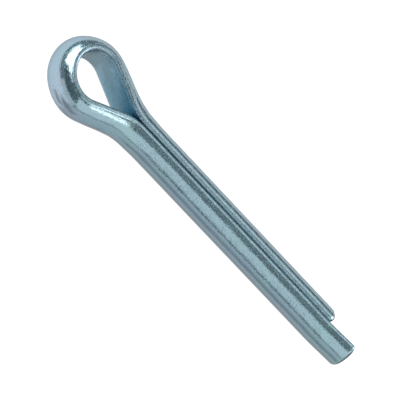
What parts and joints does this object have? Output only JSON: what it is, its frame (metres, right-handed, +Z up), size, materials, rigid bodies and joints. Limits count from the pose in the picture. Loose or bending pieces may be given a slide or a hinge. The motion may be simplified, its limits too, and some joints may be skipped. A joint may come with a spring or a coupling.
{
  "type": "cotter pin",
  "caption": "Split cotter pin of folded half-round wire, with a teardrop eye and one leg longer than the other, for locking a nut or a pin through a cross hole.",
  "frame": {"origin": "on the shank's axis, at the plane where the two legs start to part into the eye", "axes": "+X along the shank towards the tips, +Z up out of the plane of the eye as the pin lies flat, short leg on the +Y side"},
  "size_m": [0.0918, 0.0188, 0.0082],
  "materials": {
    "zinc_plate": "low-carbon steel wire, bright zinc plate with a clear blue passivation"
  },
  "bodies": {
    "root": {"cotter_pin": "zinc_plate"}
  },
  "joints": []
}
